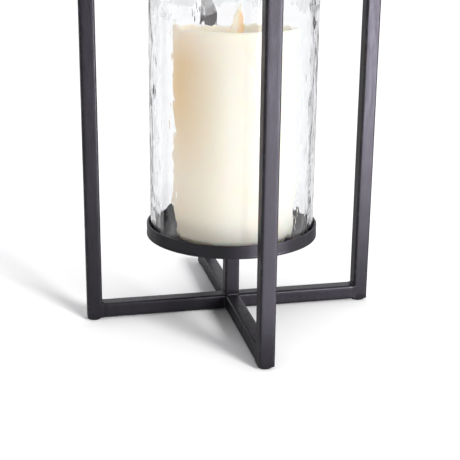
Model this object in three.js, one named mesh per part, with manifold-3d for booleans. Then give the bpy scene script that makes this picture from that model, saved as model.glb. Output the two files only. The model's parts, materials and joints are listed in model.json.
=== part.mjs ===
// Hurricane candle lantern: a welded square-tube frame with a round tray, an open glass cylinder that
// stands on the tray, and a flameless wax pillar candle inside it.
// Millimetres, +Z up, origin on the floor at the lantern's axis.

import * as THREE from 'three';
import { mergeVertices } from 'three/addons/utils/BufferGeometryUtils.js';
import Module from 'manifold-3d';

const wasm = await Module();
wasm.setup();

// ---------------------------------------------------------------- driving dimensions

const TUBE = 12.7;                       // side of the square tube
const TUBE_WALL = 1.2;
const TUBE_CORNER = 2;                   // outer corner radius
const SPAN = 250;                        // overall width, outside of leg to outside of leg
const HEIGHT = 419;                      // overall height
const LEG_OFFSET = (SPAN - TUBE) / 2;    // lantern axis to leg axis
const FACE_GAP = 0.05;                   // between faces that touch
const FIT_GAP = 0.3;                     // between pieces that fit into each other

const FOOT_HEIGHT = 2;
const FOOT_RADIUS = 5.75;
const FOOT_SHANK_RADIUS = 4.8;
const FOOT_SHANK_LENGTH = 8;
const CAP_THICKNESS = 1.2;

const TRAY_BOTTOM = 70.05;
const TRAY_RADIUS = 72.8;
const TRAY_RIM_THICKNESS = 1.8;
const TRAY_RIM_HEIGHT = 10.7;
const TRAY_DISC_THICKNESS = 1.5;
const TRAY_FLOOR = TRAY_BOTTOM + TRAY_DISC_THICKNESS;

const GLASS_RADIUS = 69.6;
const GLASS_WALL = 3;
const GLASS_HEIGHT = 280;

const CANDLE_OFFSET = 2;                 // the candle stands a little off the lantern's axis, along X
const CANDLE_BOTTOM = TRAY_FLOOR + 0.1;
const CANDLE_RADIUS = 51.8;
const CANDLE_TOP = 246;
const WAX_WALL = 7.8;
const WAX_BORE = CANDLE_RADIUS - WAX_WALL;
const WELL_FLOOR = 228;
const WELL_FLOOR_THICKNESS = 3;
const WELL_RADIUS = 45.2;

const PIVOT_HEIGHT = 222;                // the flame's pivot wire
const PIVOT_WIRE_RADIUS = 0.5;
const FLAME_TIP = 263;
const FLAME_TIP_X = 3.6;                 // the drop leans to one side
const FLAME_MAGNET_X = -0.515;           // off to the other side, so that the flame hangs straight
const FLAME_THICKNESS = 1.8;
const MAGNET_RADIUS = 3;
const MAGNET_TOP = 206;
const MAGNET_HEIGHT = 4;
const LED_HEIGHT = 209.5;
const LED_TILT = -8;                     // degrees, towards the flame

const HOUSING_BORE = 8.4;                // flame module
const HOUSING_WALL = 1.4;
const HOUSING_BOTTOM = 186.4;
const COLLAR_RADIUS = 9.2;

const BASE_FLANGE_RADIUS = 50.4;         // base housing in the foot of the candle
const BASE_FLOOR_TOP = 74.2;
const BASE_TOP = 104;
const BAY_RADIUS = 34.6;
const BAY_WALL = 1.6;
const BAY_CEILING = 94.2;
const DOOR_OPENING = 31.6;
const DOOR_TWIST = 30;                   // degrees from locked to released
const LUG_RADIUS = 34;
const LUG_ANGLE = 22;                    // degrees each lug spans
const LUG_COUNT = 3;

const BATTERY_RADIUS = 7.25;
const BATTERY_LENGTH = 50.5;
const BATTERY_OFFSET = 7.6;              // battery axis to candle axis
const BATTERY_HEIGHT = 84.8;
const CONTACT_X = 28.6;                  // inner face of the contact plates
const CONTACT_THICKNESS = 0.4;

const BOARD_BOTTOM = 99;
const BOARD_THICKNESS = 1.6;
const BOARD_SCREW_X = 14;
const SWITCH_Y = -38.9;
const SWITCH_TRAVEL = 2.5;

// ---------------------------------------------------------------- materials

/** A plain material. */
function finish(color, roughness, metalness = 0) {
  return new THREE.MeshStandardMaterial({ color, roughness, metalness });
}

const framePaint = finish(0x3a383c, 0.45, 0.3);
const footRubber = finish(0x1c1b1c, 0.8);
const clearGlass = finish(0xf4f6f6, 0.05);
clearGlass.transparent = true;
clearGlass.opacity = 0.3;
const ivoryWax = finish(0xf4ecd8, 0.55);
const ivoryPlastic = finish(0xe6dcc4, 0.5);
const flamePlastic = finish(0xf0dcae, 0.4);
const brightSteel = finish(0xb8babc, 0.3, 1);
const copperWire = finish(0xb06a3a, 0.35, 1);
const blackPlastic = finish(0x1e1e20, 0.5);
const boardGreen = finish(0x2c6a42, 0.5);
const ledResin = finish(0xf6ecd2, 0.15);
const batteryJacket = finish(0x8d9298, 0.35, 0.4);
const redSleeve = finish(0xa02820, 0.5);

// ---------------------------------------------------------------- geometry helpers

const lantern = new THREE.Group();
const candle = new THREE.Group();
candle.position.x = CANDLE_OFFSET;
lantern.add(candle);

/** Adds one named piece to a group and returns it. */
function addPiece(group, name, geometry, material, position = [0, 0, 0], rotation = [0, 0, 0]) {
  const mesh = new THREE.Mesh(geometry, material);
  mesh.name = name;
  mesh.position.set(...position);
  mesh.rotation.set(...rotation);
  group.add(mesh);
  return mesh;
}

/** Turns a closed mesh into a solid that can be cut and joined. */
function toSolid(geometry) {
  const bare = geometry.clone();
  bare.deleteAttribute('normal');
  bare.deleteAttribute('uv');
  const merged = mergeVertices(bare, 1e-4);
  const vertProperties = new Float32Array(merged.attributes.position.array);
  const triVerts = new Uint32Array(merged.index.array);
  return new wasm.Manifold(new wasm.Mesh({ numProp: 3, vertProperties, triVerts }));
}

/** Turns a solid back into a three.js geometry. */
function toGeometry(solid) {
  const mesh = solid.getMesh();
  const geometry = new THREE.BufferGeometry();
  geometry.setAttribute('position', new THREE.BufferAttribute(mesh.vertProperties, 3));
  geometry.setIndex(new THREE.BufferAttribute(mesh.triVerts, 1));
  geometry.computeVertexNormals();
  return geometry;
}

/** Joins geometries into one body, then cuts the tools out of it. */
function carve(bodies, tools = []) {
  const [first, ...rest] = bodies.map(toSolid);
  const joined = rest.reduce((solid, other) => solid.add(other), first);
  return toGeometry(tools.map(toSolid).reduce((solid, tool) => solid.subtract(tool), joined));
}

/** A body of revolution about Z. Its [radius, height] profile runs anticlockwise. */
function revolve(profile, segments = 48) {
  const points = profile.map(([radius, height]) => new THREE.Vector2(radius, height));
  return new THREE.LatheGeometry(points, segments).rotateX(Math.PI / 2);
}

/** A ring of revolution: the profile is closed on its first point. */
function revolveRing(profile, segments = 48) {
  return revolve([...profile, profile[0]], segments);
}

/** An upright cylinder between two heights. */
function rod(radius, bottom, top, segments = 24, x = 0, y = 0) {
  return revolve([[0, bottom], [radius, bottom], [radius, top], [0, top]], segments).translate(x, y, 0);
}

/** A box given by its lowest and highest corners. */
function block(low, high) {
  const size = high.map((value, axis) => value - low[axis]);
  const centre = high.map((value, axis) => (value + low[axis]) / 2);
  return new THREE.BoxGeometry(...size).translate(...centre);
}

/** A flat outline pushed up from one height to another. */
function prism(shape, bottom, top, curveSegments = 3) {
  const options = { depth: top - bottom, bevelEnabled: false, curveSegments };
  return new THREE.ExtrudeGeometry(shape, options).translate(0, 0, bottom);
}

/** Draws a square with rounded corners, centred on the origin. */
function roundedSquare(path, side, radius) {
  const half = side / 2;
  const flat = half - radius;
  path.moveTo(-flat, -half);
  path.lineTo(flat, -half);
  path.absarc(flat, -flat, radius, -Math.PI / 2, 0);
  path.lineTo(half, flat);
  path.absarc(flat, flat, radius, 0, Math.PI / 2);
  path.lineTo(-flat, half);
  path.absarc(-flat, flat, radius, Math.PI / 2, Math.PI);
  path.lineTo(-half, -flat);
  path.absarc(-flat, -flat, radius, Math.PI, 1.5 * Math.PI);
  return path;
}

/** The frame's square tube, standing on Z = 0. */
function squareTube(length) {
  const section = roundedSquare(new THREE.Shape(), TUBE, TUBE_CORNER);
  section.holes.push(roundedSquare(new THREE.Path(), TUBE - 2 * TUBE_WALL, TUBE_CORNER - TUBE_WALL));
  return prism(section, 0, length);
}

/** A pie-shaped sector, used for lugs and notches. Angles are in degrees. */
function sector(radius, centreAngle, spanAngle) {
  const start = THREE.MathUtils.degToRad(centreAngle - spanAngle / 2);
  const end = THREE.MathUtils.degToRad(centreAngle + spanAngle / 2);
  const shape = new THREE.Shape();
  shape.moveTo(0, 0);
  shape.lineTo(radius * Math.cos(start), radius * Math.sin(start));
  shape.absarc(0, 0, radius, start, end);
  shape.closePath();
  return shape;
}

/** A round wire that follows a curve. */
function wire(curve, radius, steps, sides = 8) {
  const section = new THREE.Shape();
  section.absarc(0, 0, radius, 0, 2 * Math.PI);
  return new THREE.ExtrudeGeometry(section, { extrudePath: curve, steps, curveSegments: sides / 2 });
}

// ---------------------------------------------------------------- frame

const SIDES = [
  { name: 'right', x: 1, y: 0 },
  { name: 'back', x: 0, y: 1 },
  { name: 'left', x: -1, y: 0 },
  { name: 'front', x: 0, y: -1 },
];

/** Legs with their feet and cap plates. */
function addLegs() {
  const legBottom = FOOT_HEIGHT + FACE_GAP;
  const legTop = HEIGHT - CAP_THICKNESS - FACE_GAP;
  const capPlate = roundedSquare(new THREE.Shape(), TUBE, TUBE_CORNER);
  const foot = [
    [0, 0], [FOOT_RADIUS - 0.8, 0], [FOOT_RADIUS, 0.8], [FOOT_RADIUS, FOOT_HEIGHT],
    [FOOT_SHANK_RADIUS, FOOT_HEIGHT], [FOOT_SHANK_RADIUS, FOOT_HEIGHT + FOOT_SHANK_LENGTH],
    [0, FOOT_HEIGHT + FOOT_SHANK_LENGTH],
  ];
  for (const side of SIDES) {
    const x = side.x * LEG_OFFSET;
    const y = side.y * LEG_OFFSET;
    addPiece(lantern, `leg_${side.name}`, squareTube(legTop - legBottom), framePaint, [x, y, legBottom]);
    addPiece(lantern, `leg_cap_${side.name}`, prism(capPlate, 0, CAP_THICKNESS), framePaint,
      [x, y, HEIGHT - CAP_THICKNESS]);
    addPiece(lantern, `foot_${side.name}`, revolve(foot, 20), footRubber, [x, y, 0]);
  }
}

/** One cross of bars between the legs: a through bar along X and two half bars along Y. */
function addCross(prefix, bottom) {
  const middle = bottom + TUBE / 2;
  const legFace = LEG_OFFSET - TUBE / 2 - FACE_GAP;
  const barFace = TUBE / 2 + FACE_GAP;
  addPiece(lantern, `${prefix}_bar_through`, squareTube(2 * legFace), framePaint,
    [-legFace, 0, middle], [0, Math.PI / 2, 0]);
  addPiece(lantern, `${prefix}_bar_front`, squareTube(legFace - barFace), framePaint,
    [0, -barFace, middle], [Math.PI / 2, 0, 0]);
  addPiece(lantern, `${prefix}_bar_back`, squareTube(legFace - barFace), framePaint,
    [0, barFace, middle], [-Math.PI / 2, 0, 0]);
}

/** The stem on the base cross, and the tray that it carries. */
function addTray() {
  const stemBottom = FOOT_HEIGHT + 2 * FACE_GAP + TUBE;
  const stemLength = TRAY_BOTTOM - FACE_GAP - stemBottom;
  addPiece(lantern, 'stem', squareTube(stemLength), framePaint, [0, 0, stemBottom]);
  const rimInner = TRAY_RADIUS - TRAY_RIM_THICKNESS;
  const rimTop = TRAY_BOTTOM + TRAY_RIM_HEIGHT;
  const rim = [
    [rimInner, TRAY_BOTTOM], [TRAY_RADIUS, TRAY_BOTTOM], [TRAY_RADIUS, rimTop - 0.5],
    [TRAY_RADIUS - 0.5, rimTop], [rimInner + 0.5, rimTop], [rimInner, rimTop - 0.5],
  ];
  addPiece(lantern, 'tray_disc', rod(rimInner - FACE_GAP, TRAY_BOTTOM, TRAY_FLOOR, 64), framePaint);
  addPiece(lantern, 'tray_rim', revolveRing(rim, 64), framePaint);
}

// ---------------------------------------------------------------- hurricane glass

/** An open-ended cylinder with fire-rounded edges. */
function addGlass() {
  const bottom = TRAY_FLOOR + FACE_GAP;
  const top = bottom + GLASS_HEIGHT;
  const inner = GLASS_RADIUS - GLASS_WALL;
  const middle = GLASS_RADIUS - GLASS_WALL / 2;
  const round = 1;
  const profile = [
    [inner, bottom + round], [inner + 0.6, bottom], [GLASS_RADIUS - 0.6, bottom],
    [GLASS_RADIUS, bottom + round], [GLASS_RADIUS, top - round], [GLASS_RADIUS - 0.5, top - 0.3],
    [middle, top], [inner + 0.5, top - 0.3], [inner, top - round],
  ];
  addPiece(lantern, 'glass_hurricane', revolveRing(profile, 64), clearGlass);
}

// ---------------------------------------------------------------- candle

/** The wax pillar: a thick tube with a well in its top and a hollow for the works below. */
function addWaxShell() {
  const bottom = CANDLE_BOTTOM + 1.65;
  const ceiling = WELL_FLOOR - WELL_FLOOR_THICKNESS;
  const lip = CANDLE_RADIUS - 2;
  const profile = [
    [WAX_BORE, bottom], [CANDLE_RADIUS - 0.8, bottom], [CANDLE_RADIUS, bottom + 1],
    [CANDLE_RADIUS, CANDLE_TOP - 2.4], [CANDLE_RADIUS - 0.6, CANDLE_TOP - 0.7],
    [lip, CANDLE_TOP], [lip - 2.2, CANDLE_TOP - 1],
    [WELL_RADIUS + 1, CANDLE_TOP - 5], [WELL_RADIUS, WELL_FLOOR + 5], [WELL_RADIUS - 1.2, WELL_FLOOR + 1.6],
    [WELL_RADIUS - 4.2, WELL_FLOOR],
    [COLLAR_RADIUS + FIT_GAP, WELL_FLOOR], [COLLAR_RADIUS + FIT_GAP, ceiling],
    [WAX_BORE - 3.5, ceiling], [WAX_BORE, ceiling - 3.5],
  ];
  addPiece(candle, 'wax_shell', revolveRing(profile), ivoryWax);
}

/** The swinging flame: a flat drop with an eye for the pivot wire and a tail that carries the magnet. */
function addFlame() {
  const tailBottom = MAGNET_TOP + FACE_GAP;
  const outline = new THREE.Shape();
  outline.moveTo(FLAME_MAGNET_X - 1.6, tailBottom);
  outline.lineTo(FLAME_MAGNET_X + 1.6, tailBottom);
  outline.lineTo(1.6, PIVOT_HEIGHT - 4);
  outline.bezierCurveTo(3.2, PIVOT_HEIGHT - 1, 3.2, PIVOT_HEIGHT + 2, 2.6, PIVOT_HEIGHT + 6);
  outline.bezierCurveTo(2.8, PIVOT_HEIGHT + 14, 6.6, PIVOT_HEIGHT + 18, 6.4, PIVOT_HEIGHT + 25);
  outline.bezierCurveTo(6.2, PIVOT_HEIGHT + 31, 3.6, PIVOT_HEIGHT + 34, FLAME_TIP_X, FLAME_TIP);
  outline.bezierCurveTo(1.6, PIVOT_HEIGHT + 34, -4.2, PIVOT_HEIGHT + 30, -4.4, PIVOT_HEIGHT + 23);
  outline.bezierCurveTo(-4.4, PIVOT_HEIGHT + 18, -2.8, PIVOT_HEIGHT + 14, -2.6, PIVOT_HEIGHT + 6);
  outline.bezierCurveTo(-3.2, PIVOT_HEIGHT + 2, -3.2, PIVOT_HEIGHT - 1, -1.6, PIVOT_HEIGHT - 4);
  outline.closePath();
  const eye = new THREE.Path();
  eye.absarc(0, PIVOT_HEIGHT, PIVOT_WIRE_RADIUS + 0.1, 0, 2 * Math.PI);
  outline.holes.push(eye);
  const drop = prism(outline, -FLAME_THICKNESS / 2, FLAME_THICKNESS / 2, 8).rotateX(Math.PI / 2);
  addPiece(candle, 'flame', drop, flamePlastic);
  addPiece(candle, 'flame_magnet', rod(MAGNET_RADIUS, MAGNET_TOP - MAGNET_HEIGHT, MAGNET_TOP), brightSteel,
    [FLAME_MAGNET_X, 0, 0]);
  const wireLength = 2 * (HOUSING_BORE + 1);
  const pivotWire = new THREE.CylinderGeometry(PIVOT_WIRE_RADIUS, PIVOT_WIRE_RADIUS, wireLength, 16);
  addPiece(candle, 'flame_pivot_wire', pivotWire, brightSteel, [0, 0, PIVOT_HEIGHT]);
}

/** The flame module under the well: collar, housing, electromagnet and LED. */
function addFlameModule() {
  const collarBottom = PIVOT_HEIGHT + PIVOT_WIRE_RADIUS + 0.1;
  const collar = [
    [COLLAR_RADIUS - 1.2, collarBottom], [COLLAR_RADIUS, collarBottom],
    [COLLAR_RADIUS, WELL_FLOOR + FACE_GAP], [COLLAR_RADIUS + 2, WELL_FLOOR + FACE_GAP],
    [COLLAR_RADIUS + 2, WELL_FLOOR + 0.8],
    [COLLAR_RADIUS + 1.4, WELL_FLOOR + 1.3], [COLLAR_RADIUS - 0.6, WELL_FLOOR + 1.3],
    [COLLAR_RADIUS - 1.2, WELL_FLOOR + 0.8],
  ];
  addPiece(candle, 'flame_collar', revolveRing(collar, 24), ivoryPlastic);

  const ledge = PIVOT_HEIGHT - PIVOT_WIRE_RADIUS - 0.1;
  const flangeTop = WELL_FLOOR - WELL_FLOOR_THICKNESS - FIT_GAP;
  const socket = COLLAR_RADIUS + 0.6;
  const floor = HOUSING_BOTTOM + HOUSING_WALL;
  const housing = [
    [0, HOUSING_BOTTOM], [socket + HOUSING_WALL, HOUSING_BOTTOM], [socket + HOUSING_WALL, flangeTop - 1.7],
    [17, flangeTop - 1.7], [17, flangeTop], [socket, flangeTop], [socket, ledge], [HOUSING_BORE, ledge],
    [HOUSING_BORE, floor], [0, floor],
  ];
  const leadHoles = [-1, 1].map((sign) => rod(0.9, HOUSING_BOTTOM - 1, floor + 1, 12, sign * 5));
  addPiece(candle, 'flame_module_housing', carve([revolve(housing, 28)], leadHoles), blackPlastic);

  const coilBottom = floor + FACE_GAP;
  const coilTop = coilBottom + 9;
  const bobbin = [
    [2, coilBottom], [8, coilBottom], [8, coilBottom + 1], [3.3, coilBottom + 1],
    [3.3, coilTop - 1], [8, coilTop - 1], [8, coilTop], [2, coilTop],
  ];
  const winding = [
    [3.5, coilBottom + 1.2], [7.6, coilBottom + 1.2], [7.6, coilTop - 1.2], [3.5, coilTop - 1.2],
  ];
  addPiece(candle, 'coil_bobbin', revolveRing(bobbin, 24), blackPlastic);
  addPiece(candle, 'coil_winding', revolveRing(winding, 24), copperWire);
  addPiece(candle, 'coil_core', rod(1.8, coilBottom, coilTop + 1.5, 16), brightSteel);

  const led = [[0, 0], [1.9, 0], [1.9, 0.8], [1.5, 0.8], [1.5, 4], [1.06, 5.06], [0, 5.5]];
  const tilt = THREE.MathUtils.degToRad(LED_TILT);
  addPiece(candle, 'led', revolve(led, 16), ledResin, [0, -6, LED_HEIGHT], [tilt, 0, 0]);
}

/** The base housing in the candle's foot: battery bay, lug notches, switch slot and screw bosses. */
function addBaseHousing() {
  const wall = WAX_BORE - FIT_GAP;
  const bayOuter = BAY_RADIUS + BAY_WALL;
  const flangeTop = CANDLE_BOTTOM + 1.6;
  const deck = BAY_CEILING + BAY_WALL;
  const profile = [
    [0, BAY_CEILING], [BAY_RADIUS, BAY_CEILING], [BAY_RADIUS, BASE_FLOOR_TOP], [DOOR_OPENING, BASE_FLOOR_TOP],
    [DOOR_OPENING, CANDLE_BOTTOM], [BASE_FLANGE_RADIUS - 0.4, CANDLE_BOTTOM], [BASE_FLANGE_RADIUS, flangeTop],
    [wall, flangeTop], [wall, BASE_TOP], [wall - 1.8, BASE_TOP], [wall - 1.8, BASE_FLOOR_TOP],
    [bayOuter, BASE_FLOOR_TOP], [bayOuter, deck], [0, deck],
  ];
  const bossTop = BOARD_BOTTOM - FACE_GAP;
  const bosses = [-1, 1].map((sign) => rod(2.6, deck - 0.8, bossTop, 16, sign * BOARD_SCREW_X));
  const bossBores = [-1, 1].map((sign) => rod(1.2, deck + 0.2, bossTop + 1, 12, sign * BOARD_SCREW_X));
  const notches = [];
  for (let index = 0; index < LUG_COUNT; index += 1) {
    const angle = 90 + (index * 360) / LUG_COUNT;
    const notch = sector(LUG_RADIUS + 0.5, angle, LUG_ANGLE + 4);
    notches.push(prism(notch, CANDLE_BOTTOM - 1, BASE_FLOOR_TOP + 0.1, 8));
  }
  const halfSlot = SWITCH_TRAVEL + 1.5 + 0.4;
  const slot = block(
    [-halfSlot, SWITCH_Y - 1.5, CANDLE_BOTTOM - 1],
    [halfSlot, SWITCH_Y + 1.5, BASE_FLOOR_TOP + 1],
  );
  const tabSlots = [-1, 1].map((sign) => block(
    [CONTACT_X - 0.3, sign * BATTERY_OFFSET - 2, BAY_CEILING - 0.5],
    [CONTACT_X + CONTACT_THICKNESS + 0.3, sign * BATTERY_OFFSET + 2, deck + 0.5],
  ));
  const housing = carve([revolve(profile), ...bosses], [...bossBores, ...notches, slot, ...tabSlots]);
  addPiece(candle, 'base_housing', housing, ivoryPlastic);
}

/** The twist-off battery door: a disc with a collar and three lugs, and a coin slot across its outside. */
function addBatteryDoor() {
  const bottom = CANDLE_BOTTOM + 0.6;
  const plateTop = BASE_FLOOR_TOP - 0.2;
  const collarTop = 76.2;
  const plateRadius = DOOR_OPENING - 0.4;
  const plate = [
    [0, bottom], [plateRadius - 0.4, bottom], [plateRadius, bottom + 0.4], [plateRadius, collarTop],
    [plateRadius - 1.8, collarTop], [plateRadius - 1.8, plateTop], [0, plateTop],
  ];
  const lugs = [];
  for (let index = 0; index < LUG_COUNT; index += 1) {
    const angle = 90 - DOOR_TWIST + (index * 360) / LUG_COUNT;
    lugs.push(prism(sector(LUG_RADIUS, angle, LUG_ANGLE), BASE_FLOOR_TOP + FIT_GAP, collarTop, 8));
  }
  const inside = rod(plateRadius - 1.8, plateTop, collarTop + 1, 48);
  const coinSlot = block([-9, -1.2, bottom - 1], [9, 1.2, bottom + 0.9]);
  addPiece(candle, 'battery_door', carve([revolve(plate, 48), ...lugs], [inside, coinSlot]), ivoryPlastic);
}

/** Two AA cells side by side, head to tail. */
function addBatteries() {
  const shoulder = BATTERY_LENGTH - 1.2;
  const cell = [
    [0, 0], [BATTERY_RADIUS - 0.4, 0], [BATTERY_RADIUS, 0.4], [BATTERY_RADIUS, shoulder - 0.4],
    [BATTERY_RADIUS - 0.4, shoulder], [2.75, shoulder], [2.75, BATTERY_LENGTH], [0, BATTERY_LENGTH],
  ];
  const flatEnd = CONTACT_X - 0.1 - BATTERY_LENGTH;
  for (const [name, sign] of [['battery_back', 1], ['battery_front', -1]]) {
    addPiece(candle, name, revolve(cell, 24), batteryJacket,
      [sign * flatEnd, sign * BATTERY_OFFSET, BATTERY_HEIGHT], [0, sign * Math.PI / 2, 0]);
  }
}

/** Battery contacts: two terminals with board tabs at one end, one bridge at the other, and two springs. */
function addContacts() {
  const outer = CONTACT_X + CONTACT_THICKNESS;
  const low = BATTERY_HEIGHT - 6;
  const high = BAY_CEILING - 0.2;
  for (const [name, sign] of [['terminal_positive', 1], ['terminal_negative', -1]]) {
    const y = sign * BATTERY_OFFSET;
    const plate = block([CONTACT_X, y - 5.5, low], [outer, y + 5.5, high]);
    const tab = block([CONTACT_X, y - 1.5, high - 1], [outer, y + 1.5, BOARD_BOTTOM - FACE_GAP]);
    addPiece(candle, name, carve([plate, tab]), brightSteel);
  }
  const bridge = block([-outer, -BATTERY_OFFSET - 5.5, low], [-CONTACT_X, BATTERY_OFFSET + 5.5, high]);
  addPiece(candle, 'bridge_contact', bridge, brightSteel);

  const wireRadius = 0.35;
  const springLength = 2 * CONTACT_X - BATTERY_LENGTH - 0.3;
  const turns = 4;
  const stepsPerTurn = 10;
  class SpringCurve extends THREE.Curve {
    getPoint(t, target = new THREE.Vector3()) {
      const angle = 2 * Math.PI * turns * t;
      const radius = 4.2 - 1.6 * t;
      const height = wireRadius + 0.15 + (springLength - 2 * wireRadius - 0.3) * t;
      return target.set(radius * Math.cos(angle), radius * Math.sin(angle), height);
    }
  }
  for (const [name, sign] of [['contact_spring_back', 1], ['contact_spring_front', -1]]) {
    addPiece(candle, name, wire(new SpringCurve(), wireRadius, turns * stepsPerTurn, 6), brightSteel,
      [-sign * CONTACT_X, sign * BATTERY_OFFSET, BATTERY_HEIGHT], [0, sign * Math.PI / 2, 0]);
  }
}

/** The circuit board on the bay's deck, its two screws, and the two leads up to the flame module. */
function addBoard() {
  const top = BOARD_BOTTOM + BOARD_THICKNESS;
  const sheet = block([-30, -12, BOARD_BOTTOM], [30, 12, top]);
  const chip = block([-4, -5, top - 0.5], [4, 1, top + 1.6]);
  const holes = [-1, 1].map((sign) => rod(1.4, BOARD_BOTTOM - 1, top + 1, 12, sign * BOARD_SCREW_X));
  addPiece(candle, 'circuit_board', carve([sheet, chip], holes), boardGreen);

  const screw = [[0, -4], [0.9, -4], [0.9, FACE_GAP], [2.3, FACE_GAP], [2.3, 1], [1.6, 1.6], [0, 1.6]];
  for (const [name, sign] of [['board_screw_right', 1], ['board_screw_left', -1]]) {
    addPiece(candle, name, revolve(screw, 16), brightSteel, [sign * BOARD_SCREW_X, 0, top]);
  }

  const leads = [['module_lead_positive', 1, redSleeve], ['module_lead_negative', -1, blackPlastic]];
  for (const [name, sign, material] of leads) {
    const route = new THREE.CatmullRomCurve3([
      new THREE.Vector3(sign * 8, 6, top + 0.3),
      new THREE.Vector3(sign * 9, 7, top + 22),
      new THREE.Vector3(sign * 12, 4, top + 50),
      new THREE.Vector3(sign * 5, 0, HOUSING_BOTTOM - 6),
      new THREE.Vector3(sign * 5, 0, HOUSING_BOTTOM - FIT_GAP),
    ]);
    addPiece(candle, name, wire(route, 0.6, 14, 6), material);
  }
}

/** The slide switch: its metal body above the floor slot, and the knob that shows through the slot. */
function addSwitch() {
  const bodyBottom = BASE_FLOOR_TOP + FACE_GAP;
  const body = block([-6, SWITCH_Y - 2.2, bodyBottom], [6, SWITCH_Y + 2.2, bodyBottom + 5]);
  addPiece(candle, 'switch_body', body, brightSteel);
  const knob = block(
    [-1.5, SWITCH_Y - 1.2, CANDLE_BOTTOM + 0.4],
    [1.5, SWITCH_Y + 1.2, bodyBottom - FIT_GAP],
  );
  addPiece(candle, 'switch_knob', knob, blackPlastic);
}

addLegs();
addCross('base', FOOT_HEIGHT + FACE_GAP);
addCross('top', HEIGHT - TUBE);
addTray();
addGlass();
addWaxShell();
addFlame();
addFlameModule();
addBaseHousing();
addBatteryDoor();
addBatteries();
addContacts();
addBoard();
addSwitch();

export default lantern;
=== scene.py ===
"""Looks of the hurricane candle lantern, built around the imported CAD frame.

Metres and +Z up, as in the frame. The order is materials, mesh tools, pieces, stage, light and camera.
"""

import json
import math

import bmesh
import bpy
import numpy as np
from mathutils import Matrix, Vector, noise

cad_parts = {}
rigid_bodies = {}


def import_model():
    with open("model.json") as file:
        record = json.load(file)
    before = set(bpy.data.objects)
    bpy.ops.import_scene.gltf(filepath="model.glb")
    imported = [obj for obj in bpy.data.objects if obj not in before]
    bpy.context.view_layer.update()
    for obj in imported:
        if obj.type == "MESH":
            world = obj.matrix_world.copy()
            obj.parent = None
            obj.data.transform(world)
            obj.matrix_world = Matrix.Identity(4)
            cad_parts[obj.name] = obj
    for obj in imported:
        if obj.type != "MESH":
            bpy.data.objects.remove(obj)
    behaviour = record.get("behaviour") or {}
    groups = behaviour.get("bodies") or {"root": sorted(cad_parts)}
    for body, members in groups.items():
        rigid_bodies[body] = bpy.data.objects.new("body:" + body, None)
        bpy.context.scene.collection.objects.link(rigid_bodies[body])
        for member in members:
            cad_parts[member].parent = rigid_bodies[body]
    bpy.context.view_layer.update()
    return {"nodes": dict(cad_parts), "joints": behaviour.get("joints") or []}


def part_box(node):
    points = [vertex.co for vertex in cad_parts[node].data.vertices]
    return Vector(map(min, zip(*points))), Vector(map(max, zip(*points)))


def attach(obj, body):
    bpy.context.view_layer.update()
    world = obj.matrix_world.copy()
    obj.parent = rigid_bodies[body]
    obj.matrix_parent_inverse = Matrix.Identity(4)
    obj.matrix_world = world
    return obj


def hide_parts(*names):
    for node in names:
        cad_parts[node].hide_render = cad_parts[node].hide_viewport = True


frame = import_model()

MM = 0.001
TAU = 2 * math.pi

# ---------------------------------------------------------------- sizes, from the frame where it has them

LEG_LOW, LEG_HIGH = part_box("leg_front")
TUBE = LEG_HIGH.x - LEG_LOW.x
TUBE_CORNER = 2.0 * MM
TUBE_WALL = 1.2 * MM
TUBE_END_SOFTNESS = 0.25 * MM
CAP_SOFTNESS = 0.35 * MM
BAND_THICKNESS = 1.8 * MM
RIM_LOW, RIM_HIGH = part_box("tray_rim")
DISC_LOW, DISC_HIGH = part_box("tray_disc")
GLASS_LOW, GLASS_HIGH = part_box("glass_hurricane")
GLASS_RADIUS = (GLASS_HIGH.x - GLASS_LOW.x) / 2
GLASS_WALL = 3 * MM
GLASS_LIP = 1.4 * MM
GLASS_AROUND, GLASS_ALONG = 304, 152
WAX_LOW, WAX_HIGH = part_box("wax_shell")
CANDLE_X = (WAX_LOW.x + WAX_HIGH.x) / 2
WAX_RADIUS = (WAX_HIGH.x - WAX_LOW.x) / 2
WAX_WALL = 7.8 * MM
WAX_BORE = WAX_RADIUS - WAX_WALL
WELL_RADIUS = 45.2 * MM
WELL_DEPTH = 18 * MM
WELL_FLOOR_THICKNESS = 3 * MM
WELL_HOLE = 9.5 * MM
PIVOT = Vector(next(j for j in frame["joints"] if j["name"] == "flame_swing")["pos_m"])
FLAME_SIDES = 28
EYE_RADIUS = 0.62 * MM

# ---------------------------------------------------------------- node trees


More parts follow.
